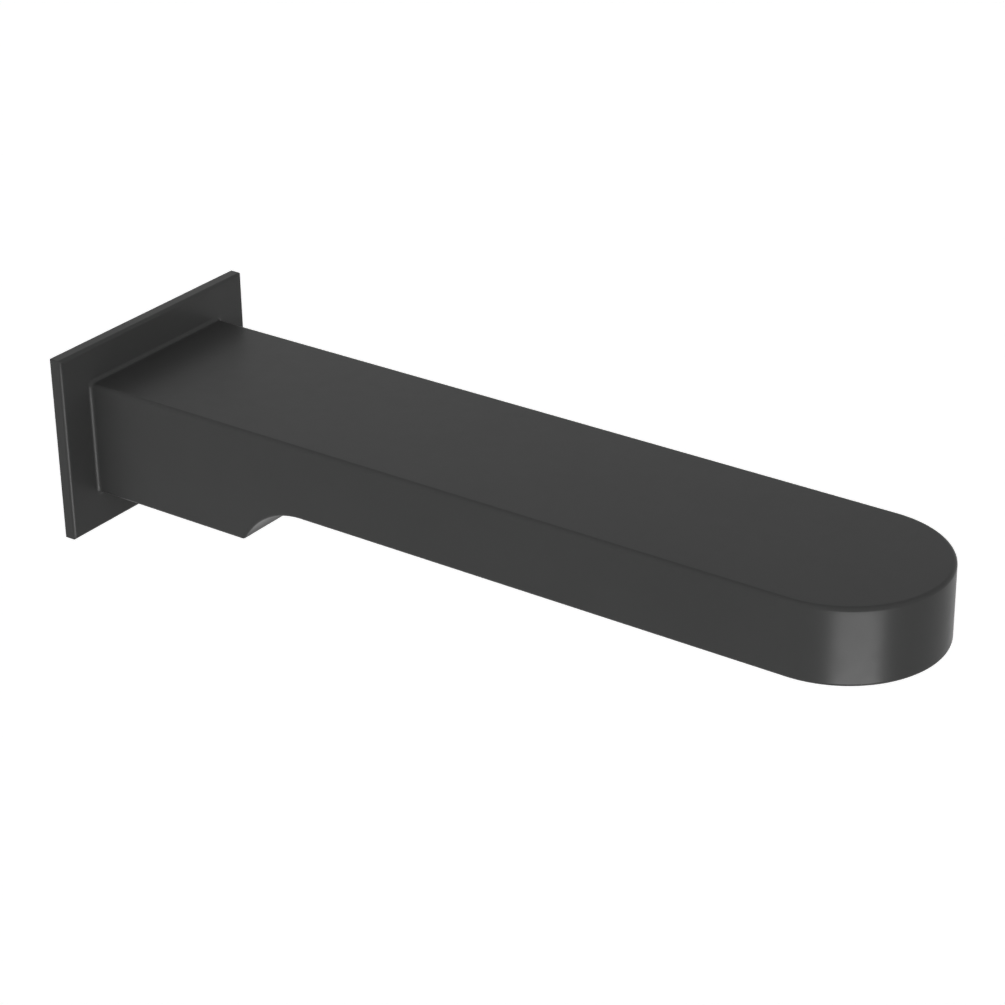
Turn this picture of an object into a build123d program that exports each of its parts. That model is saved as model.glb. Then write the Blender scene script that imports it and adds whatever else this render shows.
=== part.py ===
from build123d import *
import math
import os

# Wall-mounted bath spout: a one-piece casting with a rectangular wall plate, a deep root, a
# slim arm and a full half-round nose. It slips over a threaded wall nipple, is sealed on it by
# a ring and clamped by a grub screw from below. A flush stream insert closes the outlet.
# The wall is the plane y = 0, the spout reaches out along -Y, +Z is up and the origin lies on
# the inlet axis at the wall. All lengths are in millimetres.

# Wall plate
plate_side_margin = 10.0
plate_top_margin = 9.7
plate_thickness = 3.5
plate_edge_radius = 0.9

# Outside of the spout
spout_width = 50.0
spout_reach = 231.5
root_height = 30.6
root_length = 51.5
arm_height = 19.7
cove_radius = 21.5
spout_edge_radius = 1.0
root_fillet_radius = 1.1

# Casting: walls round the waterway, the inlet socket and the pockets beside it
casting_wall = 3.0
socket_wall = 3.0
socket_chamfer = 0.8
pocket_corner_radius = 2.0
bulkhead_thickness = 6.0

# Gasket in a shallow recess behind the plate
gasket_thickness = 1.5
gasket_rim = 3.0
gasket_corner_radius = 2.0
gasket_clearance = 0.2

# Wall nipple: G 1/2 thread into the wall, plain spigot into the spout
inlet_thread_diameter = 20.955
inlet_thread_length = 13.0
spigot_diameter = 20.0
spigot_clearance = 0.15
spigot_lead = 4.0
spigot_end_gap = 2.5
nipple_wall = 2.6
nipple_chamfer = 1.0
nipple_key_step = 0.5
nipple_key_depth = 10.0

# Sealing ring, drawn as squeezed between its groove and the socket
ring_groove_depth = 1.9
ring_groove_width = 3.0
ring_side_gap = 0.2
ring_clearance = 0.05
groove_land = 2.5

# Grub screw that clamps the spout on the nipple
grub_diameter = 6.0
grub_clearance = 0.1
grub_to_plate = 6.5
grub_recess = 0.4
grub_point_chamfer = 0.6
grub_key_across_flats = 3.0
grub_key_depth = 2.5
grub_point_gap = 0.1

# Outlet and its stream insert
insert_thread_diameter = 24.0
insert_thread_clearance = 0.15
insert_barrel_length = 7.0
insert_flange_overhang = 1.3
insert_flange_height = 1.2
insert_flange_clearance = 0.25
insert_flush_recess = 0.3
insert_wall = 2.0
insert_lip_width = 1.3
insert_lip_height = 1.4
insert_key_slots = 4
insert_key_slot_width = 2.4
insert_key_slot_depth = 0.9
outlet_boss_wall = 2.5
outlet_shoulder_thickness = 1.5
seal_thickness = 1.5
seal_overlap = 1.2
seal_clearance = 0.1

# Honeycomb and strainer inside the insert
core_clearance = 0.15
core_rim = 0.8
honeycomb_cell = 2.4
honeycomb_web = 0.45
strainer_thickness = 1.0
strainer_cell = 1.7
strainer_web = 1.15

# Levels and places of the spout that follow from the sizes above
plate_width = spout_width + 2 * plate_side_margin
plate_height = root_height + 2 * plate_top_margin
half_width = spout_width / 2
root_top = root_height / 2
root_bottom = -root_height / 2
arm_bottom = root_top - arm_height
tip_y = -spout_reach
nose_y = tip_y + half_width
cove_drop = root_height - arm_height
cove_y = -root_length - math.sqrt(cove_radius**2 - (cove_radius - cove_drop) ** 2)
cove_centre_z = arm_bottom - cove_radius

# Places along the nipple, one after the other from the wall outwards
spigot_radius = spigot_diameter / 2
socket_radius = spigot_radius + spigot_clearance
socket_boss_radius = socket_radius + socket_wall
ring_groove_radius = spigot_radius - ring_groove_depth
grub_y = -plate_thickness - grub_to_plate
ring_y = grub_y - grub_diameter / 2 - groove_land - ring_groove_width / 2
spigot_end_y = ring_y - ring_groove_width / 2 - spigot_lead
waterway_y = spigot_end_y - spigot_end_gap
pocket_depth = -waterway_y - bulkhead_thickness

# Radii and levels of the stream insert, from the underside of the arm upwards
insert_thread_radius = insert_thread_diameter / 2
insert_flange_radius = insert_thread_radius + insert_flange_overhang
insert_bore_radius = insert_thread_radius - insert_wall
insert_lip_radius = insert_bore_radius - insert_lip_width
seal_inner_radius = insert_bore_radius - seal_overlap
outlet_bore_radius = insert_thread_radius + insert_thread_clearance
core_radius = insert_bore_radius - core_clearance
insert_bottom = arm_bottom + insert_flush_recess
insert_flange_top = insert_bottom + insert_flange_height
insert_lip_top = insert_bottom + insert_lip_height
insert_top = insert_flange_top + insert_barrel_length
honeycomb_top = insert_top - strainer_thickness
seal_top = insert_top + seal_thickness
outlet_boss_top = seal_top + outlet_shoulder_thickness

# Key recesses and the cells of the insert are hexagons
hexagon_sides = 6
# Cuts start and end this far outside the faces that they open
overcut = 1.0
# Places closer together than this count as one when edges are picked
near = 0.01


def plan_face(inset, back_y):
    """Plan of the spout, drawn in by inset: parallel sides closed by a full half-round nose."""
    side = half_width - inset
    with BuildSketch() as plan:
        with BuildLine():
            Line((-side, back_y), (-side, nose_y))
            ThreePointArc((-side, nose_y), (0, nose_y - side), (side, nose_y))
            Polyline((side, nose_y), (side, back_y), (-side, back_y))
        make_face()
    return plan.sketch


def side_face(inset, back_y):
    """Side view of the spout, drawn in by inset: root, concentric cove and level arm."""
    top = root_top - inset
    floor = arm_bottom + inset
    bottom = root_bottom + inset
    front = tip_y - overcut
    radius = cove_radius + inset
    sweep = math.acos((bottom - cove_centre_z) / radius)
    cove_start = (cove_y + radius * math.sin(sweep), bottom)
    cove_middle = (cove_y + radius * math.sin(sweep / 2), cove_centre_z + radius * math.cos(sweep / 2))
    cove_end = (cove_y, floor)
    with BuildSketch(Plane.YZ) as side:
        with BuildLine():
            Polyline(cove_end, (front, floor), (front, top), (back_y, top), (back_y, bottom), cove_start)
            ThreePointArc(cove_start, cove_middle, cove_end)
        make_face()
    return side.sketch


def spout_form(inset, back_y):
    """Solid of the spout's form, drawn in by inset: its plan meets its side view."""
    plan = Pos(0, 0, root_bottom - overcut) * plan_face(inset, back_y)
    plan_prism = extrude(plan, root_height + 2 * overcut)
    side_prism = extrude(side_face(inset, back_y), spout_width, both=True)
    return plan_prism & side_prism


def rim_edges(form):
    """Edges round the top and the underside of the spout, with the edge across the root's corner."""
    rims = []
    for edge in form.edges():
        middle = edge.position_at(0.5)
        at_back = middle.Y > -near
        upright = abs(edge.bounding_box().size.Z) > near and edge.geom_type == GeomType.LINE
        smooth_seam = abs(middle.X) < near and abs(middle.Y - cove_y) < near
        if not (at_back or upright or smooth_seam):
            rims.append(edge)
    return rims


def spout_outside():
    """Square-cornered plate and spout as one casting, with rounded edges and a fillet between them."""
    spout = spout_form(0, 0)
    spout = fillet(rim_edges(spout), spout_edge_radius)
    plate = extrude(Plane.XZ * Rectangle(plate_width, plate_height), plate_thickness)
    plate = fillet(plate.faces().sort_by(Axis.Y)[0].edges(), plate_edge_radius)
    casting = spout + plate
    front_face = casting.faces().filter_by(Axis.Y).sort_by(Axis.Y)[0]
    return fillet(front_face.inner_wires()[0].edges(), root_fillet_radius)


def standing_cylinder(radius, bottom, top, y):
    """Upright cylinder from bottom to top on the centre plane."""
    return extrude(Pos(0, y, bottom) * Circle(radius), top - bottom)


def lying_cylinder(radius, back_y, front_y):
    """Cylinder on the inlet axis from back_y out to front_y."""
    return extrude(Plane.XZ.offset(-back_y) * Circle(radius), back_y - front_y)


def waterway():
    """Cored waterway with even walls, open round the boss of the stream insert."""
    core = spout_form(casting_wall, waterway_y)
    boss_radius = outlet_bore_radius + outlet_boss_wall
    return core - standing_cylinder(boss_radius, arm_bottom, outlet_boss_top, nose_y)


def inlet_socket():
    """Plain bore for the nipple's spigot, with a chamfer that leads the sealing ring in."""
    bore = lying_cylinder(socket_radius, 0, waterway_y - overcut)
    mouth = Plane.XZ * Circle(socket_radius + socket_chamfer)
    return bore + loft([mouth, Plane.XZ.offset(socket_chamfer) * Circle(socket_radius)])


def outlet_bore():
    """Stepped bore under the nose: flange recess, thread bore and the bore through the seal's shoulder."""
    recess_radius = insert_flange_radius + insert_flange_clearance
    recess = standing_cylinder(recess_radius, arm_bottom - overcut, insert_flange_top, nose_y)
    thread = standing_cylinder(outlet_bore_radius, arm_bottom, seal_top, nose_y)
    shoulder = standing_cylinder(seal_inner_radius, arm_bottom, outlet_boss_top + overcut, nose_y)
    return recess + thread + shoulder


def gasket_outline(clearance):
    """Outline of the gasket recess, drawn in by a clearance, with the socket's boss left standing."""
    width = plate_width - 2 * (gasket_rim + clearance)
    height = plate_height - 2 * (gasket_rim + clearance)
    outline = RectangleRounded(width, height, gasket_corner_radius)
    return Plane.XZ * (outline - Circle(socket_boss_radius + clearance))


def rear_pockets():
    """Pockets that keep the walls even on both sides of the inlet socket."""
    width = spout_width - 2 * casting_wall
    height = root_height - 2 * casting_wall
    outline = RectangleRounded(width, height, pocket_corner_radius) - Circle(socket_boss_radius)
    return extrude(Plane.XZ * outline, pocket_depth)


def make_spout_body():
    """The casting: outside, waterway, inlet socket, rear pockets, gasket recess, outlet and screw hole."""
    body = spout_outside()
    body -= waterway()
    body -= inlet_socket()
    body -= rear_pockets()
    body -= extrude(gasket_outline(0), gasket_thickness)
    body -= outlet_bore()
    body -= standing_cylinder(grub_diameter / 2 + grub_clearance, root_bottom - overcut, 0, grub_y)
    return body


def make_plate_gasket():
    """Flat rubber gasket that lies in the recess, flush with the back of the plate."""
    return extrude(gasket_outline(gasket_clearance), gasket_thickness)


def make_wall_nipple():
    """Turned nipple: thread into the wall, spigot with a ring groove, through bore and a key recess."""
    thread_radius = inlet_thread_diameter / 2
    bore_radius = ring_groove_radius - nipple_wall
    outline = [
        (bore_radius, inlet_thread_length),
        (thread_radius - nipple_chamfer, inlet_thread_length),
        (thread_radius, inlet_thread_length - nipple_chamfer),
        (thread_radius, 0),
        (spigot_radius, 0),
        (spigot_radius, ring_y + ring_groove_width / 2),
        (ring_groove_radius, ring_y + ring_groove_width / 2),
        (ring_groove_radius, ring_y - ring_groove_width / 2),
        (spigot_radius, ring_y - ring_groove_width / 2),
        (spigot_radius, spigot_end_y),
        (bore_radius, spigot_end_y),
    ]
    nipple = revolve(make_face(Polyline(*outline, close=True)), Axis.Y)
    key = RegularPolygon(bore_radius + nipple_key_step, hexagon_sides, major_radius=False)
    key_start = -spigot_end_y - nipple_key_depth
    return nipple - extrude(Plane.XZ.offset(key_start) * key, nipple_key_depth)


def make_sealing_ring():
    """Rubber ring of square cut, squeezed between the nipple's groove and the socket."""
    thickness = socket_radius - ring_groove_radius - 2 * ring_clearance
    width = ring_groove_width - 2 * ring_side_gap
    middle_radius = (socket_radius + ring_groove_radius) / 2
    return revolve(Pos(middle_radius, ring_y) * Rectangle(thickness, width), Axis.Y)


def make_grub_screw():
    """Headless screw with a key recess below and a flat point on the nipple's spigot."""
    bottom = root_bottom + grub_recess
    top = -spigot_radius - grub_point_gap
    screw = standing_cylinder(grub_diameter / 2, bottom, top, grub_y)
    screw = chamfer(screw.edges().sort_by(Axis.Z)[-1], grub_point_chamfer)
    key = RegularPolygon(grub_key_across_flats / 2, hexagon_sides, major_radius=False)
    return screw - extrude(Pos(0, grub_y, bottom) * key, grub_key_depth)


def turned_ring(outline):
    """Ring turned about the outlet's axis from an outline of radius and height."""
    return Pos(0, nose_y, 0) * revolve(Plane.XZ * make_face(Polyline(*outline, close=True)), Axis.Z)


def make_insert_housing():
    """Flanged sleeve that screws into the outlet, with a lip inside and slots for its key."""
    ring = turned_ring([
        (insert_lip_radius, insert_bottom),
        (insert_flange_radius, insert_bottom),
        (insert_flange_radius, insert_flange_top),
        (insert_thread_radius, insert_flange_top),
        (insert_thread_radius, insert_top),
        (insert_bore_radius, insert_top),
        (insert_bore_radius, insert_lip_top),
        (insert_lip_radius, insert_lip_top),
    ])
    slot_length = 2 * insert_lip_width
    slot = Box(slot_length, insert_key_slot_width, 2 * insert_key_slot_depth)
    centre = Pos(0, nose_y, insert_bottom)
    return ring - [centre * place * slot for place in PolarLocations(insert_lip_radius, insert_key_slots)]


def make_insert_seal():
    """Flat rubber washer between the insert and the outlet's shoulder."""
    outer_radius = insert_thread_radius - seal_clearance
    return turned_ring([
        (seal_inner_radius, insert_top),
        (outer_radius, insert_top),
        (outer_radius, seal_top),
        (seal_inner_radius, seal_top),
    ])


def hexagon_places(pitch, reach):
    """Places of a hexagonal pattern of the given pitch, as far from its middle as reach."""
    count = math.ceil(2 * reach / pitch)
    steps = range(-count, count + 1)
    along = Vector(pitch, 0)
    across = Vector(pitch / 2, pitch * math.sqrt(3) / 2)
    points = [along * column + across * row for row in steps for column in steps]
    return [Pos(point) for point in points if point.length <= reach]


def cell_disc(cell, web, bottom, top):
    """Disc that fits inside the insert, with hexagonal cells up to a plain rim."""
    # Turned by half a side's angle, so that flats and not corners face the next cells
    turn = 180 / hexagon_sides
    opening = RegularPolygon(cell / 2, hexagon_sides, major_radius=False, rotation=turn)
    corner_radius = cell / math.sqrt(3)
    places = hexagon_places(cell + web, core_radius - core_rim - corner_radius)
    disc = Circle(core_radius) - [place * opening for place in places]
    return extrude(Pos(0, nose_y, bottom) * disc, top - bottom)


def make_stream_straightener():
    """Honeycomb on the insert's lip, which makes the stream run clear."""
    return cell_disc(honeycomb_cell, honeycomb_web, insert_lip_top, honeycomb_top)


def make_strainer_disc():
    """Perforated disc on the honeycomb, which the seal holds down."""
    return cell_disc(strainer_cell, strainer_web, honeycomb_top, insert_top)


parts = {
    "spout_body": make_spout_body(),
    "plate_gasket": make_plate_gasket(),
    "wall_nipple": make_wall_nipple(),
    "sealing_ring": make_sealing_ring(),
    "grub_screw": make_grub_screw(),
    "insert_housing": make_insert_housing(),
    "insert_seal": make_insert_seal(),
    "stream_straightener": make_stream_straightener(),
    "strainer_disc": make_strainer_disc(),
}

os.makedirs("parts", exist_ok=True)
for name, part in parts.items():
    export_step(part, f"parts/{name}.step")
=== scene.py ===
import logging
import math
from collections.abc import Callable
from dataclasses import dataclass
from enum import Enum

import bmesh
import bpy
import numpy as np
from mathutils import Matrix, Vector


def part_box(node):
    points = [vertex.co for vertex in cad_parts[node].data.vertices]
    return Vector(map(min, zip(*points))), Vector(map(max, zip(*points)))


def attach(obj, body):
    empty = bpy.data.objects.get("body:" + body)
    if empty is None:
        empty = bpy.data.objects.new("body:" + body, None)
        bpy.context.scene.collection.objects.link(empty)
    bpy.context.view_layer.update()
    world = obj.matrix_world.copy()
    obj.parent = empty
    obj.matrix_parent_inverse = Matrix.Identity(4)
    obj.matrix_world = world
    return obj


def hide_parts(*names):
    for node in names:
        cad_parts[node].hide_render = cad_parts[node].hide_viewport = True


# Looks of a wall-mounted bath spout in satin black. Lengths are in metres. The wall is the plane
# y = 0, the spout reaches out along -Y, +Z is up and the origin lies on the inlet axis.

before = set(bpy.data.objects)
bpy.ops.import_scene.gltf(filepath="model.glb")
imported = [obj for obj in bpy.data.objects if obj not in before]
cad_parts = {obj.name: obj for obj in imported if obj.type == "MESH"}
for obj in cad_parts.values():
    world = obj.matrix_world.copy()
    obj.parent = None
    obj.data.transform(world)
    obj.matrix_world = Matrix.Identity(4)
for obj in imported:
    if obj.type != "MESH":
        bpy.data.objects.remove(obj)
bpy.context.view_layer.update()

MM = 0.001
BODY = "root"
WELD_DISTANCE = 0.001 * MM
SHARP_ANGLE = math.radians(35.0)
QUARTER = math.pi / 2
FLANGE_HEIGHT = 1.2 * MM
WHITE = (1.0, 1.0, 1.0, 1.0)
LOG = logging.getLogger("bath_spout")

Colour = tuple[float, float, float]


class Slot(Enum):
    """Material slots of the part's record."""

    SATIN_BLACK = "satin_black"
    BARE_BRASS = "bare_brass"
    SEAL_RUBBER = "seal_rubber"
    GASKET_FOAM = "gasket_foam"
    SCREW_STEEL = "screw_steel"
    INSERT_BLACK = "insert_black"
    INSERT_GREY = "insert_grey"


class TurningAxis(Enum):
    """Direction of the axis about which a piece was turned."""

    LEVEL = (0.0, 1.0, 0.0)
    UPRIGHT = (0.0, 0.0, 1.0)


# Meshes


def middle(node: str) -> Vector:
    """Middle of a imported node's box."""
    low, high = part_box(node)
    return (low + high) / 2


def loop_quads(numbers: np.ndarray) -> np.ndarray:
    """Quads between neighbouring rows of vertices, each row a closed loop.

    Each quad joins a vertex, the next one in its row and the two that lie beyond them in the next row.

    Args:
        numbers: Numbers of the vertices, shape (rows, columns).

    Returns:
        Vertex numbers, four to a quad, in an array of shape (quads, 4).
    """
    following = np.roll(numbers, -1, axis=1)
    corners = (numbers[:-1], following[:-1], following[1:], numbers[1:])
    return np.stack(corners, axis=-1).reshape(-1, 4)


def grid_numbers(points: np.ndarray) -> np.ndarray:
    """Numbers of the vertices of a grid of points of shape (rows, columns, 3), row after row."""
    return np.arange(points.shape[0] * points.shape[1]).reshape(points.shape[:2])


def stretch(start: float, end: float, count: int) -> np.ndarray:
    """Evenly spaced values from start to end, without start itself."""
    return np.linspace(start, end, count + 1)[1:]


def make_piece(name: str, vertices: np.ndarray, quads: np.ndarray) -> bpy.types.Object:
    """Makes a welded, smoothly shaded object of the given vertices and quads.

    Args:
        name: Name of the new object.
        vertices: Points in metres, shape (points, 3).
        quads: Vertex numbers, shape (quads, 4).

    Returns:
        The object, at the origin, with its normals outwards and weighted by face area.
    """
    mesh = bpy.data.meshes.new(name)
    mesh.vertices.add(len(vertices))
    mesh.vertices.foreach_set("co", vertices.astype(np.float32).ravel())
    mesh.loops.add(quads.size)
    mesh.loops.foreach_set("vertex_index", quads.astype(np.int32).ravel())
    mesh.polygons.add(len(quads))
    mesh.polygons.foreach_set("loop_start", np.arange(0, quads.size, 4, dtype=np.int32))
    mesh.update(calc_edges=True)
    weld = bmesh.new()
    weld.from_mesh(mesh)
    bmesh.ops.remove_doubles(weld, verts=weld.verts, dist=WELD_DISTANCE)
    bmesh.ops.dissolve_degenerate(weld, edges=weld.edges, dist=WELD_DISTANCE)
    bmesh.ops.recalc_face_normals(weld, faces=weld.faces)
    weld.to_mesh(mesh)
    weld.free()
    mesh.shade_smooth()
    mesh.set_sharp_from_angle(angle=SHARP_ANGLE)
    piece = bpy.data.objects.new(name, mesh)
    bpy.context.scene.collection.objects.link(piece)
    piece.modifiers.new("even_flats", "WEIGHTED_NORMAL").keep_sharp = True
    return piece


def turned(radius: np.ndarray, height: np.ndarray, angle: np.ndarray) -> tuple[np.ndarray, np.ndarray]:
    """Surface turned about an axis: a profile carried round a circle.

    A point lies radius away from the axis, at the given angle round it and height along it. The
    first and last rows of the profile are its two ends.

    Args:
        radius: Radius of each point, shape (profile points, angles) or (profile points, 1).
        height: Height of each point, of a like shape.
        angle: Angles round the axis, in radians.

    Returns:
        Points as (across, along the axis, up), shape (points, 3), and the quads between them.
    """
    radius, height, turn = np.broadcast_arrays(radius, height, angle[None, :])
    points = np.stack([radius * np.sin(turn), height, radius * np.cos(turn)], axis=-1)
    return points.reshape(-1, 3), loop_quads(grid_numbers(points))


def stand_upright(points: np.ndarray, y: float) -> np.ndarray:
    """Half turn about the line midway between +Y and +Z, which stands a level axis upright, moved to y."""
    return points[:, [0, 2, 1]] * (-1, 1, 1) + (0, y, 0)


def hexagon(half: float, angle: np.ndarray) -> np.ndarray:
    """Radius of a hexagon: its half width over the cosine of the angle from the nearest flat."""
    sixth = math.pi / 3
    return half / np.cos((angle + sixth / 2) % sixth - sixth / 2)


def thread_wave(height: np.ndarray, angle: np.ndarray, pitch: float) -> np.ndarray:
    """Rounded right-hand thread: a cosine along the helix, clipped to short flats at crest and root.

    Args:
        height: Heights along the axis, shape (heights, 1).
        angle: Angles round the axis, in radians.
        pitch: Climb in one turn.

    Returns:
        Values from 0 at the root to 1 at the crest, shape (heights, angles).
    """
    crest_flat = 1.3
    phase = 2 * math.pi * height / pitch - angle[None, :]
    return 0.5 + 0.5 * np.clip(crest_flat * np.cos(phase), -1.0, 1.0)


def smooth_step(value: np.ndarray) -> np.ndarray:
    """Eases from 0 to 1 as the value goes from 0 to 1: three times its square less twice its cube."""
    share = np.clip(value, 0.0, 1.0)
    return share * share * (3 - 2 * share)


# Finishes


class FinishNodes:
    """Node material of one finish: a principled shader fed by patterns on Object coordinates."""

    # Span that holds most of a pattern's values
    PATTERN_LOW = 0.3
    PATTERN_HIGH = 0.7

    def __init__(self, name: str) -> None:
        """Makes the material with its shader.

        Args:
            name: Name of the new material.
        """
        self.material = bpy.data.materials.new(name)
        self.material.use_nodes = True
        self.tree = self.material.node_tree
        self.shader = self.tree.nodes["Principled BSDF"]
        self.place = self.tree.nodes.new("ShaderNodeTexCoord").outputs["Object"]

    def constant(self, name: str, value: float | tuple[float, ...]) -> None:
        """Sets a socket of the shader that is the same all over."""
        self.shader.inputs[name].default_value = value

    def noise(self, size: float, detail: float = 2.0) -> bpy.types.NodeSocket:
        """Cloudy pattern on Object coordinates.

        Args:
            size: Size of its features in metres.
            detail: Number of finer layers in it.

        Returns:
            Socket with values about one half.
        """
        node = self.tree.nodes.new("ShaderNodeTexNoise")
        node.inputs["Scale"].default_value = 1.0 / size
        node.inputs["Detail"].default_value = detail
        self.tree.links.new(self.place, node.inputs["Vector"])
        return node.outputs["Fac"]

    def turned_rings(self, size: float, axis: TurningAxis, centre: Vector) -> bpy.types.NodeSocket:
        """Tool marks of turning: noise over the distance from the axis and the way along it.

        The distance is the length of the cross product of the place and the axis, the way along
        it their dot product.

        Args:
            size: Width of a mark in metres.
            axis: Direction of the axis.
            centre: A point on the axis.

        Returns:
            Socket with values about one half.
        """
        place, across, distance, along = (self.tree.nodes.new("ShaderNodeVectorMath") for _ in range(4))
        place.operation, across.operation = "SUBTRACT", "CROSS_PRODUCT"
        distance.operation, along.operation = "LENGTH", "DOT_PRODUCT"
        place.inputs[1].default_value = centre
        across.inputs[1].default_value = along.inputs[1].default_value = axis.value
        ring = self.tree.nodes.new("ShaderNodeCombineXYZ")
        node = self.tree.nodes.new("ShaderNodeTexNoise")
        node.noise_dimensions = "2D"
        node.inputs["Scale"].default_value = 1.0 / size
        self.tree.links.new(self.place, place.inputs[0])
        self.tree.links.new(place.outputs["Vector"], across.inputs[0])
        self.tree.links.new(place.outputs["Vector"], along.inputs[0])
        self.tree.links.new(across.outputs["Vector"], distance.inputs[0])
        self.tree.links.new(distance.outputs["Value"], ring.inputs["X"])
        self.tree.links.new(along.outputs["Value"], ring.inputs["Y"])
        self.tree.links.new(ring.outputs["Vector"], node.inputs["Vector"])
        return node.outputs["Fac"]

    def cells(self, size: float) -> bpy.types.NodeSocket:
        """Pattern of rounded cells, low in their middles.

        Args:
            size: Size of a cell in metres.

        Returns:
            Socket with the distance from the nearest cell's middle.
        """
        node = self.tree.nodes.new("ShaderNodeTexVoronoi")
        node.inputs["Scale"].default_value = 1.0 / size
        self.tree.links.new(self.place, node.inputs["Vector"])
        return node.outputs["Distance"]

    def vary(self, name: str, pattern: bpy.types.NodeSocket, low: float, high: float) -> None:
        """Feeds a socket of the shader by a pattern.

        Args:
            name: The socket's name.
            pattern: Socket with values about one half.
            low: Value where the pattern is low.
            high: Value where the pattern is high.
        """
        node = self.tree.nodes.new("ShaderNodeMapRange")
        node.inputs["From Min"].default_value = self.PATTERN_LOW
        node.inputs["From Max"].default_value = self.PATTERN_HIGH
        node.inputs["To Min"].default_value = low
        node.inputs["To Max"].default_value = high
        self.tree.links.new(pattern, node.inputs["Value"])
        self.tree.links.new(node.outputs["Result"], self.shader.inputs[name])

    def tint(self, pattern: bpy.types.NodeSocket, low: Colour, high: Colour) -> None:
        """Feeds the base colour by a pattern.

        Args:
            pattern: Socket with values about one half.
            low: Colour where the pattern is low.
            high: Colour where the pattern is high.
        """
        node = self.tree.nodes.new("ShaderNodeValToRGB")
        start, end = node.color_ramp.elements
        start.position, start.color = self.PATTERN_LOW, (*low, 1.0)
        end.position, end.color = self.PATTERN_HIGH, (*high, 1.0)
        self.tree.links.new(pattern, node.inputs["Fac"])
        self.tree.links.new(node.outputs["Color"], self.shader.inputs["Base Color"])

    def bump(self, *layers: tuple[bpy.types.NodeSocket, float]) -> None:
        """Feeds the shader's normal by bumps, one on top of the other.

        Args:
            layers: Patterns, each with its height in metres.
        """
        normal = None
        for pattern, height in layers:
            node = self.tree.nodes.new("ShaderNodeBump")
            node.inputs["Distance"].default_value = height
            self.tree.links.new(pattern, node.inputs["Height"])
            if normal is not None:
                self.tree.links.new(normal, node.inputs["Normal"])
            normal = node.outputs["Normal"]
        self.tree.links.new(normal, self.shader.inputs["Normal"])


@dataclass(frozen=True)
class SatinBlackCoat:
    """Baked satin black coat on the casting: fine orange peel, faint clouds of shade and gloss."""

    shade: Colour = (0.0440, 0.0444, 0.0440)
    cloud_share: float = 0.025
    cloud_size: float = 24 * MM
    gloss_low: float = 0.32
    gloss_high: float = 0.36
    gloss_size: float = 3.6 * MM
    gloss_detail: float = 4.0
    specular: float = 0.066
    peel_size: float = 0.9 * MM
    peel_height: float = 0.004 * MM
    grain_size: float = 0.22 * MM
    grain_height: float = 0.002 * MM

    def material(self) -> bpy.types.Material:
        """Builds the coat's node material.

        Returns:
            The material.
        """
        nodes = FinishNodes("satin_black_coat")
        clouds = nodes.noise(self.cloud_size)
        dark = tuple(part * (1 - self.cloud_share) for part in self.shade)
        light = tuple(part * (1 + self.cloud_share) for part in self.shade)
        nodes.tint(clouds, dark, light)
        gloss = nodes.noise(self.gloss_size, self.gloss_detail)
        nodes.vary("Roughness", gloss, self.gloss_low, self.gloss_high)
        nodes.constant("Specular IOR Level", self.specular)
        peel = nodes.noise(self.peel_size)
        grain = nodes.noise(self.grain_size)
        nodes.bump((peel, self.peel_height), (grain, self.grain_height))
        return nodes.material


@dataclass(frozen=True)
class TurnedMetal:
    """Turned bare metal with fine tool marks round its axis, for brass and for steel."""

    name: str
    dark: Colour
    light: Colour
    gloss_low: float
    gloss_high: float
    axis: TurningAxis
    turned_node: str
    mark_size: float = 0.25 * MM
    mark_height: float = 0.008 * MM
    stain_size: float = 5 * MM
    stain_detail: float = 4.0

    def material(self) -> bpy.types.Material:
        """Builds the metal's node material.

        Returns:
            The material.
        """
        nodes = FinishNodes(self.name)
        nodes.constant("Metallic", 1.0)
        nodes.tint(nodes.noise(self.stain_size, self.stain_detail), self.dark, self.light)
        marks = nodes.turned_rings(self.mark_size, self.axis, middle(self.turned_node))
        nodes.vary("Roughness", marks, self.gloss_low, self.gloss_high)
        nodes.bump((marks, self.mark_height))
        return nodes.material


@dataclass(frozen=True)
class MouldedSkin:
    """Moulded rubber or plastic with a fine even grain."""

    name: str
    dark: Colour
    light: Colour
    gloss_low: float
    gloss_high: float
    grain_size: float = 0.3 * MM
    grain_height: float = 0.006 * MM
    cloud_size: float = 6 * MM
    detail: float = 3.0

    def material(self) -> bpy.types.Material:
        """Builds the skin's node material.

        Returns:
            The material.
        """
        nodes = FinishNodes(self.name)
        nodes.tint(nodes.noise(self.cloud_size, self.detail), self.dark, self.light)
        grain = nodes.noise(self.grain_size, self.detail)
        nodes.vary("Roughness", grain, self.gloss_low, self.gloss_high)
        nodes.bump((grain, self.grain_height))
        return nodes.material


@dataclass(frozen=True)
class CellFoam:
    """Closed-cell foam rubber, with the small open cells of its cut face, their pits darkened by painted
    shade.
    """

    dark: Colour = (0.036, 0.036, 0.037)
    light: Colour = (0.053, 0.053, 0.054)
    cell_size: float = 0.7 * MM
    cell_height: float = 0.12 * MM
    gloss_low: float = 0.85
    gloss_high: float = 0.95
    gloss_size: float = 2.1 * MM

    def material(self) -> bpy.types.Material:
        """Builds the foam's node material.

        Returns:
            The material.
        """
        nodes = FinishNodes("cell_foam")
        cells = nodes.cells(self.cell_size)
        # Painted shade: the colour darkens towards each cell's middle, where the bump sinks into a pit.
        nodes.tint(cells, self.dark, self.light)
        nodes.vary("Roughness", nodes.noise(self.gloss_size), self.gloss_low, self.gloss_high)
        nodes.bump((cells, self.cell_height))
        return nodes.material


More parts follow.
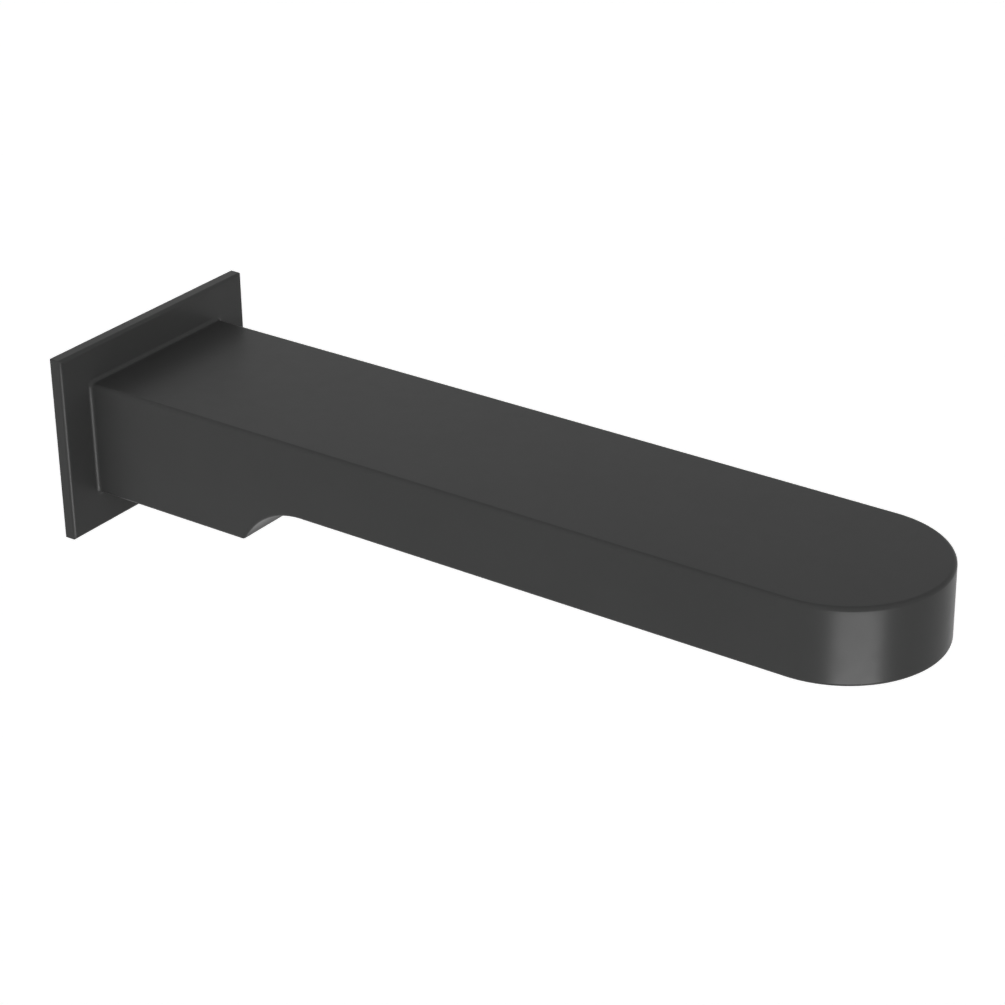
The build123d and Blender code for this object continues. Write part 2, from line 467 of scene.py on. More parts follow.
class Finishes:
    """Materials of the part, one for each slot of the record."""

    def __init__(self) -> None:
        """Builds every material once."""
        self.of_slot = {
            Slot.SATIN_BLACK: SatinBlackCoat().material(),
            Slot.BARE_BRASS: TurnedMetal(
                "turned_brass", dark=(0.60, 0.41, 0.17), light=(0.74, 0.54, 0.25),
                gloss_low=0.24, gloss_high=0.36, axis=TurningAxis.LEVEL, turned_node="wall_nipple",
            ).material(),
            Slot.SCREW_STEEL: TurnedMetal(
                "plain_steel", dark=(0.40, 0.40, 0.41), light=(0.52, 0.52, 0.53),
                gloss_low=0.28, gloss_high=0.42, axis=TurningAxis.UPRIGHT, turned_node="grub_screw",
            ).material(),
            Slot.SEAL_RUBBER: MouldedSkin(
                "seal_rubber", dark=(0.020, 0.020, 0.020), light=(0.028, 0.028, 0.028),
                gloss_low=0.55, gloss_high=0.7,
            ).material(),
            Slot.GASKET_FOAM: CellFoam().material(),
            Slot.INSERT_BLACK: MouldedSkin(
                "insert_black", dark=(0.024, 0.024, 0.025), light=(0.032, 0.032, 0.033),
                gloss_low=0.38, gloss_high=0.5,
            ).material(),
            Slot.INSERT_GREY: MouldedSkin(
                "insert_grey", dark=(0.27, 0.28, 0.29), light=(0.33, 0.34, 0.35),
                gloss_low=0.35, gloss_high=0.48,
            ).material(),
        }

    def dress(self, piece: bpy.types.Object, slot: Slot) -> None:
        """Gives a new piece the material of a slot."""
        piece.data.materials.append(self.of_slot[slot])

    def dress_node(self, node: str, slot: Slot) -> None:
        """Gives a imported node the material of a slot."""
        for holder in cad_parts[node].material_slots:
            holder.material = self.of_slot[slot]


# Sub-assemblies


@dataclass(frozen=True)
class SectionLoop:
    """Layout of the closed loop of points round a four-sided section with rounded corners.

    A point is its core, a point of the four-sided figure between the corners' centres, plus its
    rim, the way outwards from there. The loop runs along the top from left to right, down the
    right flank, back along the bottom and up the left flank, with each corner on its way.
    """

    flat_steps: int = 48
    flank_steps: int = 16
    corner_steps: int = 8

    def core_and_rim(self) -> tuple[np.ndarray, np.ndarray]:
        """Lays out the loop: along each side the core moves, and round each corner the rim turns.

        Returns:
            Cores as shares of the half sizes from -1 to 1, and rims as unit vectors, each of
            shape (points, 2) as (across, up).
        """
        across = np.linspace(-1, 1, self.flat_steps + 1)
        down = stretch(1, -1, self.flank_steps)
        turn = stretch(0, QUARTER, self.corner_steps)
        sine, cosine = np.sin(turn), np.cos(turn)
        parts = [
            (across, 1, 0, 1),
            (1, 1, sine, cosine),
            (1, down, 1, 0),
            (1, -1, cosine, -sine),
            (-across[1:], -1, 0, -1),
            (-1, -1, -sine, -cosine),
            (-1, -down, -1, 0),
            (-1, 1, -cosine[:-1], sine[:-1]),
        ]
        points = np.concatenate([np.stack(np.broadcast_arrays(*part), axis=-1) for part in parts])
        return points[:, :2], points[:, 2:]

    @property
    def bottom_start(self) -> int:
        """Number of the bottom's first point, at its right end."""
        return self.flat_steps + 2 * self.corner_steps + self.flank_steps

    def outline(self, half_width: float, half_height: float, radius: float) -> np.ndarray:
        """Rectangle with rounded corners: the core times the half sizes, plus the rim times the radius."""
        core, rim = self.core_and_rim()
        return core * (half_width - radius, half_height - radius) + rim * radius


@dataclass(frozen=True)
class Hole:
    """Round upright hole between two blocks of the loops' grid, which give way to its rings.

    A block holds the numbers of its vertices, in rows that run outwards from the wall. The rings
    are pairs of radius and height from the underside upwards. The mouth is the last ring: it lies
    on the inner surface, whose height the roof gives for each place across.
    """

    centre_y: float
    outer_block: np.ndarray
    inner_block: np.ndarray
    rings: tuple[tuple[float, float], ...]
    mouth_radius: float
    roof: Callable[[np.ndarray], np.ndarray]

    @staticmethod
    def border(block: np.ndarray) -> np.ndarray:
        """Numbers of the vertices round a block's border."""
        return np.concatenate([block[0], block[1:, -1], block[-1, -2::-1], block[-2:0:-1, 0]])

    def given_way(self) -> np.ndarray:
        """Numbers of the grid's quads in both blocks: those of the vertices at their first corners."""
        blocks = (np.sort(block, axis=0) for block in (self.outer_block, self.inner_block))
        return np.concatenate([block[:-1, :-1].ravel() for block in blocks])

    def surface(self, loops: np.ndarray, first_vertex: int) -> tuple[np.ndarray, np.ndarray]:
        """Rings from the border of the outer block to that of the inner one.

        A ring's points lie on the spokes from the hole's axis to the points of the outer border.

        Args:
            loops: Points of the whole grid, shape (loops, points, 3).
            first_vertex: Number of the first new vertex.

        Returns:
            New points, shape (points, 3), and new quads, shape (quads, 4).
        """
        outer, inner = self.border(self.outer_block), self.border(self.inner_block)
        points = loops.reshape(-1, 3)[outer]
        axis = np.array([0.0, self.centre_y])
        spoke = points[:, :2] - axis
        spoke = spoke / np.linalg.norm(spoke, axis=1, keepdims=True)
        rings = [np.insert(axis + spoke * radius, 2, height, axis=1) for radius, height in self.rings]
        mouth = axis + spoke * self.mouth_radius
        rings = np.stack([*rings, np.insert(mouth, 2, self.roof(mouth[:, 0]), axis=1)])
        rings = np.concatenate([(points + rings[:1]) / 2, rings])
        rows = np.vstack([outer, first_vertex + grid_numbers(rings), inner])
        return rings.reshape(-1, 3), loop_quads(rows)


@dataclass
class SpoutCasting:
    """The casting: wall plate, root, cove, arm and half-round nose in one piece, with its waterway."""

    finishes: Finishes
    root_height: float = 30.6 * MM
    root_length: float = 51.5 * MM
    arm_height: float = 19.7 * MM
    cove_radius: float = 21.5 * MM
    edge_radius: float = 1.0 * MM
    junction_radius: float = 1.1 * MM
    plate_thickness: float = 3.5 * MM
    plate_corner: float = 0.2 * MM
    plate_edge: float = 0.9 * MM
    rear_break: float = 0.15 * MM
    recess_corner: float = 2.0 * MM
    recess_clearance: float = 0.2 * MM
    casting_wall: float = 3.0 * MM
    bulkhead: float = 6.0 * MM
    pocket_corner: float = 2.0 * MM
    socket_radius: float = 10.15 * MM
    socket_wall: float = 3.0 * MM
    socket_chamfer: float = 0.8 * MM
    socket_gap: float = 2.5 * MM
    hole_break: float = 0.2 * MM
    screw_clearance: float = 0.1 * MM
    screw_block: float = 5.0 * MM
    flange_clearance: float = 0.25 * MM
    outlet_bore: float = 12.15 * MM
    outlet_wall: float = 2.5 * MM
    outlet_block: float = 24.0 * MM
    shoulder_bore: float = 8.8 * MM
    shoulder_height: float = 1.5 * MM
    screw_rows: int = 16
    screw_columns: int = 6
    root_rows: int = 15
    corner_rows: int = 8
    cove_rows: int = 28
    arm_rows: int = 30
    outlet_rows: int = 12
    nose_rows: int = 48
    face_rows: int = 4
    loop: SectionLoop = SectionLoop()

    def __post_init__(self) -> None:
        """Takes the sizes that show in the imported nodes' boxes from there."""
        low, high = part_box("spout_body")
        self.plate_half_width = high.x
        self.plate_half_height = high.z
        self.nose_y = middle("insert_housing").y
        self.half_width = self.nose_y - low.y
        self.root_top = self.root_height / 2
        self.arm_bottom = self.root_top - self.arm_height
        self.screw_y = middle("grub_screw").y
        self.water_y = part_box("wall_nipple")[0].y - self.socket_gap
        drop = self.root_height - self.arm_height
        cove_run = math.sqrt(self.cove_radius**2 - (self.cove_radius - drop) ** 2)
        self.cove_y = -self.root_length - cove_run

    @staticmethod
    def flat_loop(outline: np.ndarray, y: float | np.ndarray) -> np.ndarray:
        """Loop of an outline at y, which is one value or one for each point, shape (points, 3)."""
        return np.insert(outline, 1, y, axis=1)

    def screw_block_rows(self) -> np.ndarray:
        """Places along Y of the rows in the screw's blocks, from the wall outwards."""
        reach = self.screw_block
        return np.linspace(self.screw_y + reach, self.screw_y - reach, self.screw_rows + 1)

    def rear_loops(self) -> np.ndarray:
        """Loops from the waterway out through the inlet socket, over its boss, the pockets and the recess.

        Round loops are the recess's outline drawn on to a circle about the inlet axis. The pockets
        lie where their outline is outside the boss; elsewhere their loops lie on the boss's foot.

        Returns:
            Points of shape (loops, points, 3).
        """
        gasket_low, gasket_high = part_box("plate_gasket")
        recess = self.loop.outline(
            gasket_high.x + self.recess_clearance, gasket_high.z + self.recess_clearance, self.recess_corner
        )
        circle = recess / np.linalg.norm(recess, axis=1, keepdims=True)
        socket = circle * self.socket_radius
        boss_radius = self.socket_radius + self.socket_wall
        boss = circle * boss_radius
        pocket = self.loop.outline(
            self.half_width - self.casting_wall, self.root_top - self.casting_wall, self.pocket_corner
        )
        beside = np.linalg.norm(pocket, axis=1) > boss_radius
        pocket = np.where(beside[:, None], pocket, boss)
        floor_y = gasket_low.y
        pocket_y = np.where(beside, self.water_y + self.bulkhead, floor_y)
        steps = [
            (socket, self.water_y),
            *((socket, y) for y in self.screw_block_rows()[::-1]),
            (socket, -self.socket_chamfer),
            (circle * (self.socket_radius + self.socket_chamfer), 0),
            (boss, 0),
            (boss, pocket_y),
            (pocket, pocket_y),
            (pocket, floor_y),
            (recess, floor_y),
            (recess, 0),
        ]
        return np.stack([self.flat_loop(outline, y) for outline, y in steps])

    def plate_loops(self) -> np.ndarray:
        """Loops over the plate's rim, side, rounded front edge and front, and down the junction fillet.

        The front edge is a quarter circle outwards, the fillet one inwards: its loops are the
        root's outline, moved out by what is left of the fillet's radius.

        Returns:
            Points of shape (loops, points, 3).
        """
        turn = np.linspace(0, QUARTER, self.corner_rows + 1)
        front = -self.plate_thickness
        inset = self.plate_edge * (1 - np.cos(turn))
        depth = front + self.plate_edge * (1 - np.sin(turn))
        shape = [(self.rear_break, 0), (0, -self.rear_break), *zip(inset, depth)]
        edge = [
            self.flat_loop(self.loop.outline(
                self.plate_half_width - step, self.plate_half_height - step, max(self.plate_corner - step, 0)
            ), y)
            for step, y in shape
        ]
        rise = self.junction_radius * (1 - np.sin(turn))
        reach = front - self.junction_radius * (1 - np.cos(turn))
        fillet = [
            self.flat_loop(self.loop.outline(
                self.half_width + step, self.root_top + step, self.edge_radius + step
            ), y)
            for step, y in zip(rise, reach)
        ]
        share = stretch(0, 1, self.face_rows)[:-1, None, None]
        face = edge[-1] + share * (fillet[0] - edge[-1])
        return np.concatenate([np.stack(edge), face, np.stack(fillet)])

    def form_loops(self, inset: float, rim_radius: float, root_start: np.ndarray) -> np.ndarray:
        """Loops along the root, the cove, the arm and the nose of the spout's form.

        The loops' core is the form drawn in by the inset, and their rim lies the rim's radius
        outside it. In side view the core's underside is the path of the centre of a ball that
        rolls along the form: level under the root, round the root's corner, along the cove and
        level again. Round the nose both flanks turn about the nose's axis until they meet.

        Args:
            inset: Distance from the spout's faces in to the core.
            rim_radius: Radius of the rounded edges.
            root_start: Places along Y of the first loops.

        Returns:
            Points of shape (loops, points, 3), from the root to the tip.
        """
        ball_z = -self.root_top + inset
        cove_z = self.arm_bottom - self.cove_radius
        orbit = self.cove_radius + inset
        steep = math.acos((ball_z - cove_z) / orbit)
        corner_y = self.cove_y + orbit * math.sin(steep)
        block_y = self.nose_y + self.outlet_block

        root = np.append(root_start, stretch(root_start[-1], corner_y, self.root_rows))
        corner_turn = stretch(0, steep, self.corner_rows)
        cove_turn = stretch(steep, 0, self.cove_rows)
        arm = np.append(
            stretch(self.cove_y, block_y, self.arm_rows), stretch(block_y, self.nose_y, self.outlet_rows)
        )
        nose_turn = stretch(0, QUARTER, self.nose_rows)
        nose = np.full(self.nose_rows, self.nose_y)
        corner = np.full(self.corner_rows, corner_y)

        lean = np.concatenate([root * 0, corner_turn, cove_turn, arm * 0, nose * 0])[:, None]
        turn = np.concatenate([root * 0, corner * 0, cove_turn * 0, arm * 0, nose_turn])[:, None]
        low_y = np.concatenate([root, corner, self.cove_y + orbit * np.sin(cove_turn), arm, nose])[:, None]
        above_cove = stretch(corner_y, self.cove_y, self.corner_rows + self.cove_rows)
        high_y = np.concatenate([root, above_cove, arm, nose])[:, None]
        low_z = np.concatenate([
            np.full(len(root) + self.corner_rows, ball_z), cove_z + orbit * np.cos(cove_turn),
            np.full(len(arm) + self.nose_rows, self.arm_bottom + inset),
        ])[:, None]
        high_z = self.root_top - inset

        core, rim = self.loop.core_and_rim()
        height = (core[:, 1] + 1) / 2
        side = core[:, 0] * (self.half_width - inset) + rim[:, 0] * rim_radius
        reach = self.half_width - inset + np.abs(rim[:, 0]) * rim_radius
        up, down = (np.maximum(way, 0) * rim_radius for way in (rim[:, 1], -rim[:, 1]))
        x = np.cos(turn) * side
        y = low_y + height * (high_y - low_y) - down * np.sin(lean) - np.sin(turn) * reach
        z = low_z + height * (high_z - low_z) + up - down * np.cos(lean)
        return np.stack(np.broadcast_arrays(x, y, z), axis=-1)

    def socket_floor(self, across: np.ndarray) -> np.ndarray:
        """Heights of the inlet socket's lower half at places across."""
        return -np.sqrt(self.socket_radius**2 - across**2)

    def waterway_floor(self, across: np.ndarray) -> np.ndarray:
        """Heights of the waterway's floor in the arm at places across: a level face."""
        return np.full_like(across, self.arm_bottom + self.casting_wall)

    def screw_hole(self, numbers: np.ndarray, outside_row: int, socket_row: int) -> Hole:
        """The screw's hole, from the underside of the root up into the inlet socket.

        Args:
            numbers: Numbers of the grid's vertices, shape (loops, points).
            outside_row: Number of the first loop of the outside.
            socket_row: Number of the first loop of the socket.

        Returns:
            The hole.
        """
        low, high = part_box("grub_screw")
        bore = (high.x - low.x) / 2 + self.screw_clearance
        bottom = -self.root_top
        centre = self.loop.bottom_start + self.loop.flat_steps // 2
        columns = slice(centre - self.screw_columns, centre + self.screw_columns + 1)
        outer_rows, inner_rows = (
            slice(first + 1, first + self.screw_rows + 2) for first in (outside_row, socket_row)
        )
        return Hole(
            centre_y=self.screw_y,
            outer_block=numbers[outer_rows, columns],
            inner_block=numbers[inner_rows, columns][::-1],
            rings=((bore + self.hole_break, bottom), (bore, bottom + self.hole_break)),
            mouth_radius=bore,
            roof=self.socket_floor,
        )

    def outlet_hole(self, numbers: np.ndarray) -> Hole:
        """The stepped outlet, from the underside of the nose up through its boss in the waterway.

        Args:
            numbers: Numbers of the grid's vertices, shape (loops, points).

        Returns:
            The hole.
        """
        insert_low, insert_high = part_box("insert_housing")
        flange_top = insert_low.z + FLANGE_HEIGHT
        seal_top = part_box("insert_seal")[1].z
        boss_top = seal_top + self.shoulder_height
        boss_radius = self.outlet_bore + self.outlet_wall
        recess = insert_high.x + self.flange_clearance
        bottom = self.arm_bottom
        count = self.outlet_rows + self.nose_rows + 1
        columns = slice(self.loop.bottom_start, self.loop.bottom_start + self.loop.flat_steps + 1)
        return Hole(
            centre_y=self.nose_y,
            outer_block=numbers[-count:, columns],
            inner_block=numbers[:count, columns][::-1],
            rings=(
                (recess + self.hole_break, bottom), (recess, bottom + self.hole_break),
                (recess, flange_top), (self.outlet_bore, flange_top), (self.outlet_bore, seal_top),
                (self.shoulder_bore, seal_top), (self.shoulder_bore, boss_top), (boss_radius, boss_top),
            ),
            mouth_radius=boss_radius,
            roof=self.waterway_floor,
        )

    def build(self) -> bpy.types.Object:
        """Builds the casting as one grid of loops with its two holes.

        The loops run from the tip of the waterway back to the inlet socket, out through it, over
        the plate and along the outside to the tip of the nose.

        Returns:
            The casting, dressed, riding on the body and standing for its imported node.
        """
        waterway = self.form_loops(self.casting_wall, 0.0, np.array([self.water_y]))[::-1]
        start_y = -self.plate_thickness - self.junction_radius
        outside = self.form_loops(
            self.edge_radius, self.edge_radius, np.insert(self.screw_block_rows(), 0, start_y)
        )
        loops = np.concatenate([waterway, self.rear_loops(), self.plate_loops()[:-1], outside])
        numbers = grid_numbers(loops)
        holes = [
            self.screw_hole(numbers, len(loops) - len(outside), len(waterway)), self.outlet_hole(numbers)
        ]
        given_way = np.concatenate([hole.given_way() for hole in holes])
        vertices = [loops.reshape(-1, 3)]
        quads = [np.delete(loop_quads(numbers), given_way, axis=0)]
        for hole in holes:
            points, faces = hole.surface(loops, sum(map(len, vertices)))
            vertices.append(points)
            quads.append(faces)
        piece = make_piece("spout_casting", np.concatenate(vertices), np.concatenate(quads))
        self.finishes.dress(piece, Slot.SATIN_BLACK)
        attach(piece, BODY)
        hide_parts("spout_body")
        return piece


@dataclass
class WallNipple:
    """Turned brass nipple: cut pipe thread into the wall, grooved spigot into the spout."""

    finishes: Finishes
    pitch: float = 1.814 * MM
    thread_depth: float = 1.16 * MM
    start_depth: float = 0.85 * MM
    runout: float = 1.6 * MM
    end_chamfer: float = 1.0 * MM
    bore_radius: float = 5.5 * MM
    bore_chamfer: float = 0.5 * MM
    key_step: float = 0.5 * MM
    key_depth: float = 10.0 * MM
    spigot_radius: float = 10.0 * MM
    groove_radius: float = 8.1 * MM
    groove_clearance: float = 0.2 * MM
    thread_steps: int = 180
    turn_steps: int = 120

    def build(self) -> bpy.types.Object:
        """Builds the nipple as a closed profile carried round the inlet axis.

        Along the thread the radius is the crest less the thread's depth times one less the
        thread wave; the depth fades out towards the wall's face and is less where the thread
        starts, so that it comes out on the chamfer of the free end. A hexagon recess for its key
        widens the bore at the spigot's end.

        Returns:
            The nipple, dressed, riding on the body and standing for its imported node.
        """
        low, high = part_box("wall_nipple")
        ring_low, ring_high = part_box("sealing_ring")
        angle = np.linspace(0, 2 * math.pi, self.turn_steps, endpoint=False)
        crest = high.x
        height = np.linspace(high.y, 0, self.thread_steps)[:, None]
        depth = self.thread_depth * smooth_step(height / self.runout)
        depth = np.minimum(depth, self.start_depth + (high.y - height))
        thread = crest - depth * (1 - thread_wave(height, angle, self.pitch))
        thread = np.minimum(thread, crest - self.end_chamfer + (high.y - height))
        groove_back = ring_high.y + self.groove_clearance
        groove_front = ring_low.y - self.groove_clearance
        key = hexagon(self.bore_radius + self.key_step, angle)
        key_end = low.y + self.key_depth
        even = np.ones_like(angle)
        rows = [
            *zip(thread, height[:, 0]),
            (self.spigot_radius * even, 0),
            (self.spigot_radius * even, groove_back),
            (self.groove_radius * even, groove_back),
            (self.groove_radius * even, groove_front),
            (self.spigot_radius * even, groove_front),
            (self.spigot_radius * even, low.y),
            (key, low.y),
            (key, key_end),
            (self.bore_radius * even, key_end),
            (self.bore_radius * even, high.y - self.bore_chamfer),
            ((self.bore_radius + self.bore_chamfer) * even, high.y),
            (thread[0], high.y),
        ]
        radius = np.stack([row for row, _ in rows])
        along = np.array([y for _, y in rows])[:, None]
        piece = make_piece("wall_nipple_turned", *turned(radius, along, angle))
        self.finishes.dress(piece, Slot.BARE_BRASS)
        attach(piece, BODY)
        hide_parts("wall_nipple")
        return piece


@dataclass
class GrubScrew:
    """Headless screw with a hexagon recess, driven up flush under the root."""

    finishes: Finishes
    pitch: float = 1.0 * MM
    thread_depth: float = 0.55 * MM
    point_chamfer: float = 0.6 * MM
    end_chamfer: float = 0.35 * MM
    key_half: float = 1.5 * MM
    key_depth: float = 2.5 * MM
    key_lead: float = 0.15 * MM
    drill_point: float = 0.7 * MM
    thread_steps: int = 48
    turn_steps: int = 72

    def build(self) -> bpy.types.Object:
        """Builds the screw as a profile from pole to pole, carried round its upright axis.

        Returns:
            The screw, dressed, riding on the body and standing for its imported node.
        """
        low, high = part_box("grub_screw")
        angle = np.linspace(0, 2 * math.pi, self.turn_steps, endpoint=False)
        crest = (high.x - low.x) / 2
        start, end = high.z - self.point_chamfer, low.z + self.end_chamfer
        height = np.linspace(start, end, self.thread_steps)[:, None]
        thread = crest - self.thread_depth * (1 - thread_wave(height, angle, self.pitch))
        key = hexagon(self.key_half, angle)
        even = np.ones_like(angle)
        key_top = low.z + self.key_depth
        rows = [
            (even * 0, high.z),
            ((crest - self.point_chamfer) * even, high.z),
            *zip(thread, height[:, 0]),
            ((crest - self.end_chamfer) * even, low.z),
            (key + self.key_lead, low.z),
            (key, low.z + self.key_lead),
            (key, key_top),
            (even * 0, key_top + self.drill_point),
        ]
        radius = np.stack([row for row, _ in rows])
        along = np.array([z for _, z in rows])[:, None]
        points, quads = turned(radius, along, angle)
        points = stand_upright(points, middle("grub_screw").y)
        piece = make_piece("grub_screw_headless", points, quads)
        self.finishes.dress(piece, Slot.SCREW_STEEL)
        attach(piece, BODY)
        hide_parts("grub_screw")
        return piece


@dataclass
class StreamInsert:
    """Flush stream insert: flanged sleeve with key slots; honeycomb, strainer and seal as packed."""

    finishes: Finishes
    lip_height: float = 1.4 * MM
    lip_radius: float = 8.7 * MM
    bore_radius: float = 10.0 * MM
    thread_radius: float = 12.0 * MM
    thread_depth: float = 0.5 * MM
    pitch: float = 1.0 * MM
    edge: float = 0.2 * MM
    slots: int = 4
    slot_half: float = 1.2 * MM
    slot_depth: float = 0.9 * MM
    slot_reach: float = 1.3 * MM
    thread_steps: int = 48
    steps_between_slots: int = 22

    def columns(self) -> tuple[np.ndarray, np.ndarray]:
        """Angles round the sleeve and the slots' share at each: 1 in a slot and 0 beside it.

        Each slot's edge has two columns at the same angle, so that its walls stand upright.

        Returns:
            Angles in radians and shares, each of shape (columns,).
        """
        half = math.asin(self.slot_half / (self.lip_radius + self.slot_reach / 2))
        quarter = 2 * math.pi / self.slots
        slot = np.array([-half, -half, 0.0, half, half])
        share = np.array([0.0, 1.0, 1.0, 1.0, 0.0])
        beside = np.linspace(half, quarter - half, self.steps_between_slots)[1:-1]
        angle = np.concatenate([slot, beside])
        share = np.concatenate([share, beside * 0])
        turns = np.arange(self.slots)[:, None] * quarter
        return (turns + angle).ravel(), np.tile(share, self.slots)

    def sleeve(self) -> bpy.types.Object:
        """Builds the sleeve as a closed profile carried round the outlet's axis, with slots in its lip.

        Returns:
            The bare sleeve.
        """
        low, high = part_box("insert_housing")
        angle, share = self.columns()
        bottom, top = low.z, high.z
        flange = (high.x - low.x) / 2
        flange_top, lip_top = bottom + FLANGE_HEIGHT, bottom + self.lip_height
        slot_outer = self.lip_radius + self.slot_reach
        height = np.linspace(flange_top, top - self.edge, self.thread_steps)[:, None]
        wave = thread_wave(height, angle, self.pitch)
        thread = self.thread_radius - self.thread_depth * (1 - wave)
        even = np.ones_like(angle)
        slot_top = bottom + share * self.slot_depth
        rows = [
            (self.lip_radius * even, lip_top * even),
            (self.lip_radius * even, np.maximum(slot_top, bottom + self.edge)),
            (self.lip_radius + self.edge * (1 - share), slot_top),
            (slot_outer * even, slot_top),
            (slot_outer * even, bottom * even),
            ((flange - self.edge) * even, bottom * even),
            (flange * even, (bottom + self.edge) * even),
            (flange * even, flange_top * even),
            *zip(thread, height * even),
            ((self.thread_radius - self.thread_depth) * even, top * even),
            (self.bore_radius * even, top * even),
            (self.bore_radius * even, lip_top * even),
            (self.lip_radius * even, lip_top * even),
        ]
        radius, along = (np.stack(part) for part in zip(*rows))
        points, quads = turned(radius, along, angle)
        points = stand_upright(points, middle("insert_housing").y)
        return make_piece("insert_sleeve", points, quads)

    def build(self) -> bpy.types.Object:
        """Builds the sleeve, and dresses what the insert holds.

        Returns:
            The sleeve, dressed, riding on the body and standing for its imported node.
        """
        piece = self.sleeve()
        self.finishes.dress(piece, Slot.INSERT_BLACK)
        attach(piece, BODY)
        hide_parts("insert_housing")
        self.finishes.dress_node("stream_straightener", Slot.INSERT_GREY)
        self.finishes.dress_node("strainer_disc", Slot.INSERT_GREY)
        self.finishes.dress_node("insert_seal", Slot.SEAL_RUBBER)
        return piece


# Studio


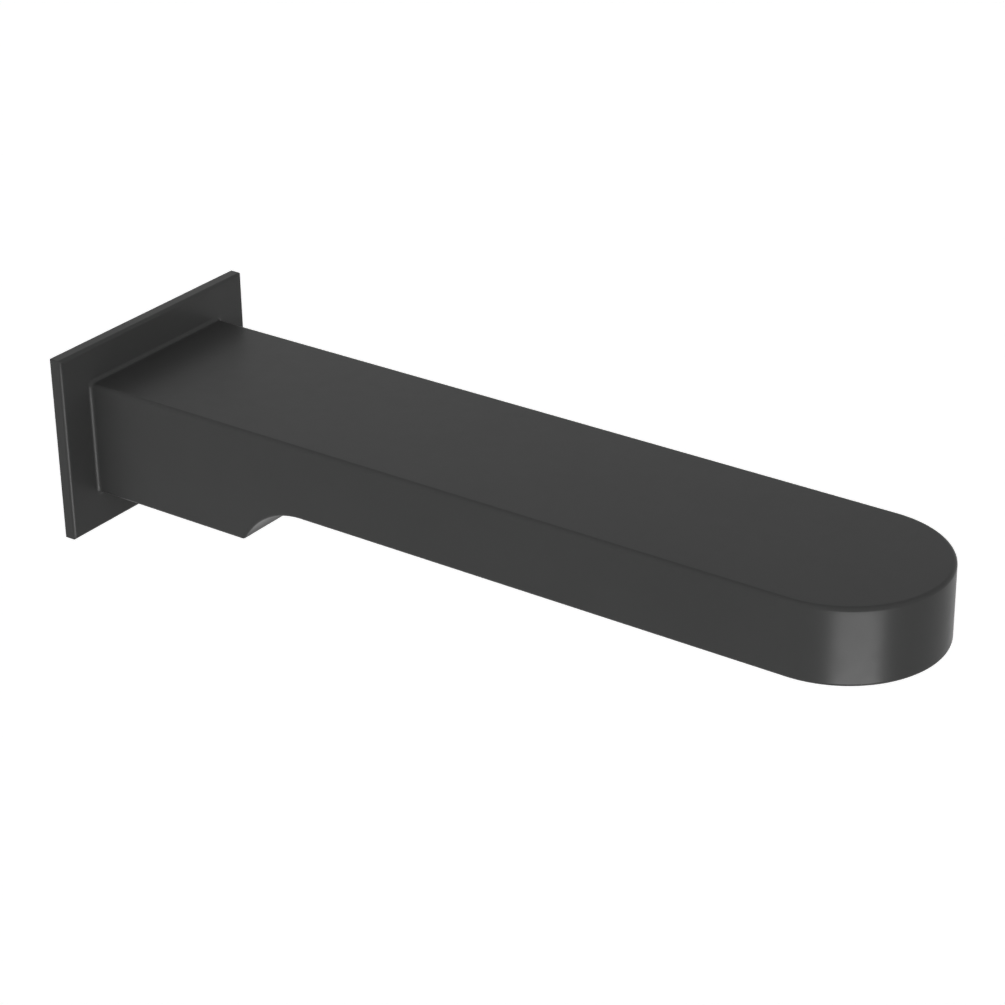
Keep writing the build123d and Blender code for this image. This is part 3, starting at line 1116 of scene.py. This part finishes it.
@dataclass
class Studio:
    """Plain white studio: soft dome, one low softbox, a pale floor far below, and the camera."""

    dome_towards: tuple[float, float, float] = (-0.405, -0.153, -0.901)
    dome_low: float = 0.10
    dome_high: float = 2.05
    dome_start: float = -0.8
    dome_end: float = 0.2
    floor_z: float = -1.4
    floor_half: float = 40.0
    floor_shade: Colour = (0.9, 0.9, 0.9)
    floor_roughness: float = 0.9
    floor_lift: float = 0.51
    softbox_azimuth: float = -135.0
    softbox_elevation: float = -36.0
    softbox_distance: float = 0.9
    softbox_width: float = 0.68
    softbox_height: float = 0.26
    softbox_power: float = 19.0
    azimuth: float = -54.181
    elevation: float = 26.719
    distance: float = 0.6982
    roll: float = -0.913
    aim_right: float = -2.11 * MM
    aim_up: float = 2.428 * MM
    lens: float = 103.88
    sensor: float = 36.0
    clip_near: float = 10 * MM
    clip_far: float = 100.0

    @staticmethod
    def seen(tree: bpy.types.NodeTree) -> bpy.types.NodeSocket:
        """Tells rays that show a surface in the picture from those that only carry light.

        Args:
            tree: Node tree of the world or of a material.

        Returns:
            Socket that is 1 for rays from the camera and for glossy and transmitted ones, and else 0.
        """
        path = tree.nodes.new("ShaderNodeLightPath")
        total = path.outputs["Is Camera Ray"]
        for name in ("Is Glossy Ray", "Is Transmission Ray"):
            node = tree.nodes.new("ShaderNodeMath")
            node.operation = "MAXIMUM"
            tree.links.new(total, node.inputs[0])
            tree.links.new(path.outputs[name], node.inputs[1])
            total = node.outputs[0]
        return total

    def build_world(self) -> None:
        """Builds the dome: white where it is seen, and a soft fill for the light that it gives.

        The fill grows evenly between two shares of the direction that points to its brighter side,
        low at the left, and is level beyond them.
        """
        world = bpy.data.worlds.new("studio_dome")
        bpy.context.scene.world = world
        world.use_nodes = True
        tree = world.node_tree
        fill = tree.nodes["Background"]
        fill.inputs["Color"].default_value = WHITE
        share = tree.nodes.new("ShaderNodeVectorMath")
        share.operation = "DOT_PRODUCT"
        share.inputs[1].default_value = self.dome_towards
        level = tree.nodes.new("ShaderNodeMapRange")
        level.inputs["From Min"].default_value = self.dome_start
        level.inputs["From Max"].default_value = self.dome_end
        level.inputs["To Min"].default_value = self.dome_low
        level.inputs["To Max"].default_value = self.dome_high
        tree.links.new(tree.nodes.new("ShaderNodeTexCoord").outputs["Generated"], share.inputs[0])
        tree.links.new(share.outputs["Value"], level.inputs["Value"])
        tree.links.new(level.outputs["Result"], fill.inputs["Strength"])
        white = tree.nodes.new("ShaderNodeBackground")
        white.inputs["Color"].default_value = WHITE
        mix = tree.nodes.new("ShaderNodeMixShader")
        tree.links.new(self.seen(tree), mix.inputs["Fac"])
        tree.links.new(fill.outputs[0], mix.inputs[1])
        tree.links.new(white.outputs[0], mix.inputs[2])
        tree.links.new(mix.outputs[0], tree.nodes["World Output"].inputs["Surface"])

    def build_floor(self) -> None:
        """Builds the floor, a level sheet whose pale paint is lifted to white where it is seen."""
        corner = np.array([[-1, -1], [1, -1], [1, 1], [-1, 1]]) * self.floor_half
        mesh = bpy.data.meshes.new("studio_floor")
        mesh.from_pydata(np.insert(corner, 2, self.floor_z, axis=1).tolist(), [], [[0, 1, 2, 3]])
        floor = bpy.data.objects.new("studio_floor", mesh)
        bpy.context.scene.collection.objects.link(floor)
        material = bpy.data.materials.new("floor_paint")
        material.use_nodes = True
        tree = material.node_tree
        paint = tree.nodes["Principled BSDF"]
        paint.inputs["Base Color"].default_value = (*self.floor_shade, 1.0)
        paint.inputs["Roughness"].default_value = self.floor_roughness
        paint.inputs["Specular IOR Level"].default_value = 0.0
        lift = tree.nodes.new("ShaderNodeEmission")
        strength = tree.nodes.new("ShaderNodeMath")
        strength.operation = "MULTIPLY"
        strength.inputs[1].default_value = self.floor_lift
        total = tree.nodes.new("ShaderNodeAddShader")
        tree.links.new(self.seen(tree), strength.inputs[0])
        tree.links.new(strength.outputs[0], lift.inputs["Strength"])
        tree.links.new(paint.outputs[0], total.inputs[0])
        tree.links.new(lift.outputs[0], total.inputs[1])
        tree.links.new(total.outputs[0], tree.nodes["Material Output"].inputs["Surface"])
        mesh.materials.append(material)

    def build_softbox(self) -> None:
        """Builds the low softbox, which only gives the coat its soft streak down the nose."""
        light = bpy.data.lights.new("softbox", "AREA")
        light.shape = "RECTANGLE"
        light.size, light.size_y = self.softbox_width, self.softbox_height
        light.energy = self.softbox_power
        turn, rise = math.radians(self.softbox_azimuth), math.radians(self.softbox_elevation)
        target = Vector((0.0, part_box("insert_housing")[0].y, 0.0))
        way = Vector((math.cos(turn) * math.cos(rise), math.sin(turn) * math.cos(rise), math.sin(rise)))
        softbox = bpy.data.objects.new("softbox", light)
        softbox.location = target + way * self.softbox_distance
        softbox.rotation_mode = "QUATERNION"
        softbox.rotation_quaternion = (-way).to_track_quat("-Z", "Y")
        softbox.visible_camera = False
        softbox.visible_diffuse = False
        bpy.context.scene.collection.objects.link(softbox)

    def build_camera(self) -> None:
        """Builds the camera at the photograph's angle, aimed near the middle of the spout."""
        turn, rise, roll = (math.radians(a) for a in (self.azimuth, self.elevation, self.roll))
        back = Vector((math.sin(turn) * math.cos(rise), -math.cos(turn) * math.cos(rise), math.sin(rise)))
        level = Vector((0, 0, 1)).cross(back).normalized()
        plumb = back.cross(level)
        right = level * math.cos(roll) + plumb * math.sin(roll)
        up = back.cross(right)
        target = Vector((0, middle("spout_body").y, 0))
        place = target + right * self.aim_right + up * self.aim_up + back * self.distance
        data = bpy.data.cameras.new("camera")
        data.sensor_width, data.lens = self.sensor, self.lens
        data.clip_start, data.clip_end = self.clip_near, self.clip_far
        camera = bpy.data.objects.new("camera", data)
        camera.matrix_world = Matrix.Translation(place) @ Matrix((right, up, back)).transposed().to_4x4()
        bpy.context.scene.collection.objects.link(camera)
        bpy.context.scene.camera = camera

    def build(self) -> None:
        """Builds the whole studio."""
        self.build_world()
        self.build_floor()
        self.build_softbox()
        self.build_camera()
        bpy.context.scene.view_settings.view_transform = "Standard"


def main() -> None:
    """Builds the sub-assemblies and the studio in order."""
    logging.basicConfig(level=logging.INFO, format="%(name)s: %(message)s")
    finishes = Finishes()
    for assembly in (SpoutCasting, WallNipple, GrubScrew, StreamInsert):
        piece = assembly(finishes).build()
        LOG.info("built %s with %d faces", piece.name, len(piece.data.polygons))
    finishes.dress_node("plate_gasket", Slot.GASKET_FOAM)
    finishes.dress_node("sealing_ring", Slot.SEAL_RUBBER)
    Studio().build()


if __name__ == "__main__":
    main()
